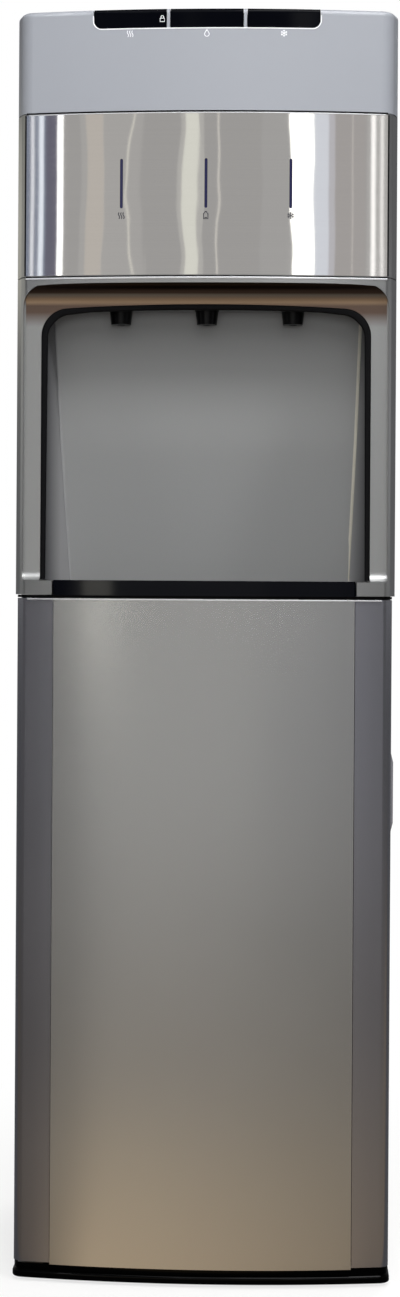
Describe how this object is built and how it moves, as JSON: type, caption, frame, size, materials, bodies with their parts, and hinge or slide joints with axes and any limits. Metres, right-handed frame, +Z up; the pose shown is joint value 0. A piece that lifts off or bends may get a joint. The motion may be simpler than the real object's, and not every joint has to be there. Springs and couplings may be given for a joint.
{
  "type": "bottom-loading water dispenser",
  "caption": "Free-standing water dispenser with a key-topped head, steel fascia, recessed cup alcove with spouts and drip tray, and a bowed lower door over the bottle space.",
  "frame": {"origin": "on the floor, under the middle of the bounding box", "axes": "front faces -Y, +X to the viewer's right, +Z up"},
  "size_m": [0.315, 0.36, 1.05],
  "materials": {
    "head_plastic": "satin",
    "fascia_steel": "brushed level",
    "frame_silver": "silver metallic, satin",
    "liner_grey": "satin",
    "key_black": "polished",
    "lock_red": "satin",
    "lens_blue": "tinted, unlit",
    "spout_black": "satin",
    "tray_black": "polished",
    "plinth_black": "polished",
    "foot_rubber": "matte",
    "door_silver": "silver metallic",
    "stile_grey": "satin",
    "inner_grey": "satin",
    "panel_grey": "satin powder coat",
    "rear_dark": "galvanised sheet",
    "zinc_steel": "zinc plated",
    "bright_steel": "bright",
    "magnet_dark": "matte",
    "board_green": "solder mask",
    "switch_black": "satin",
    "rocker_red": "polished",
    "rocker_green": "polished",
    "tank_steel": "drawn stainless",
    "foam_white": "moulded foam",
    "valve_white": "satin",
    "hose_silicone": "translucent, matte",
    "probe_white": "satin",
    "drain_grey": "satin",
    "compressor_black": "enamel",
    "condenser_black": "enamel",
    "copper": "drawn copper",
    "gland_black": "matte"
  },
  "bodies": {
    "cabinet": {"head_shell": "head_plastic", "fascia_carrier": "head_plastic", "steel_fascia": "fascia_steel", "alcove_frame": "frame_silver", "alcove_liner": "liner_grey", "indicator_lenses": "lens_blue", "hot_spout": "spout_black", "normal_spout": "spout_black", "cold_spout": "spout_black", "base_plinth": "plinth_black", "rubber_feet": "foot_rubber", "compressor_grommets": "foot_rubber", "left_side_panel": "panel_grey", "right_side_panel": "panel_grey", "rear_panel": "rear_dark", "mid_deck": "zinc_steel", "tank_shelf": "zinc_steel", "condenser_brackets": "zinc_steel", "rear_screws": "zinc_steel", "button_axle": "bright_steel", "button_springs": "bright_steel", "door_hinges": "bright_steel", "door_magnet": "magnet_dark", "button_board": "board_green", "indicator_board": "board_green", "power_board": "board_green", "button_switches": "switch_black", "switch_housings": "switch_black", "cold_tank": "tank_steel", "hot_tank": "tank_steel", "cold_tank_foam": "foam_white", "hot_tank_jacket": "foam_white", "dispense_valves": "valve_white", "water_pump": "valve_white", "water_hoses": "hose_silicone", "suction_probe": "probe_white", "probe_clip": "probe_white", "drain_spigot": "drain_grey", "compressor": "compressor_black", "condenser_tube": "condenser_black", "condenser_wires": "condenser_black", "refrigerant_pipes": "copper", "cord_gland": "gland_black"},
    "door_leaf": {"door_skin": "door_silver", "door_left_stile": "stile_grey", "door_right_stile": "stile_grey", "door_top_cap": "stile_grey", "door_bottom_cap": "stile_grey", "door_inner_panel": "inner_grey", "door_grip": "stile_grey", "door_strike": "zinc_steel"},
    "hot_key": {"hot_button": "key_black"},
    "normal_key": {"normal_button": "key_black"},
    "cold_key": {"cold_button": "key_black"},
    "lock_slide": {"child_lock": "lock_red"},
    "tray": {"drip_tray": "tray_black"},
    "grille": {"drip_grille": "tray_black"},
    "hot_rocker": {"rocker_hot": "rocker_red"},
    "cold_rocker": {"rocker_cold": "rocker_green"},
    "cap": {"drain_cap": "drain_grey"}
  },
  "joints": [
    {"name": "door_swing", "type": "hinge", "parent": "cabinet", "child": "door_leaf", "pos_m": [-0.1445, -0.1525, 0.29], "axis": [0, 0, -1], "range_deg": [0, 110]},
    {"name": "hot_press", "type": "hinge", "parent": "cabinet", "child": "hot_key", "pos_m": [0, -0.134, 1.0435], "axis": [1, 0, 0], "range_deg": [0, 4.5], "stiffness_Nm_per_rad": 0.8, "springref_deg": -2.86, "deforming": ["button_springs"]},
    {"name": "normal_press", "type": "hinge", "parent": "cabinet", "child": "normal_key", "pos_m": [0, -0.134, 1.0435], "axis": [1, 0, 0], "range_deg": [0, 4.5], "stiffness_Nm_per_rad": 0.8, "springref_deg": -2.86, "deforming": ["button_springs"]},
    {"name": "cold_press", "type": "hinge", "parent": "cabinet", "child": "cold_key", "pos_m": [0, -0.134, 1.0435], "axis": [1, 0, 0], "range_deg": [0, 4.5], "stiffness_Nm_per_rad": 0.8, "springref_deg": -2.86, "deforming": ["button_springs"]},
    {"name": "lock_move", "type": "slide", "parent": "hot_key", "child": "lock_slide", "axis": [1, 0, 0], "range_m": [0, 0.005]},
    {"name": "tray_pull", "type": "slide", "parent": "cabinet", "child": "tray", "axis": [0, -1, 0], "range_m": [0, 0.14]},
    {"name": "grille_lift", "type": "slide", "parent": "tray", "child": "grille", "axis": [0, 0, 1], "range_m": [0, 0.018]},
    {"name": "hot_switch", "type": "hinge", "parent": "cabinet", "child": "hot_rocker", "pos_m": [-0.128, 0.147, 0.925], "axis": [-1, 0, 0], "range_deg": [0, 16]},
    {"name": "cold_switch", "type": "hinge", "parent": "cabinet", "child": "cold_rocker", "pos_m": [-0.102, 0.147, 0.925], "axis": [-1, 0, 0], "range_deg": [0, 16]},
    {"name": "cap_pull", "type": "slide", "parent": "cabinet", "child": "cap", "axis": [0, 1, 0], "range_m": [0, 0.03]}
  ]
}
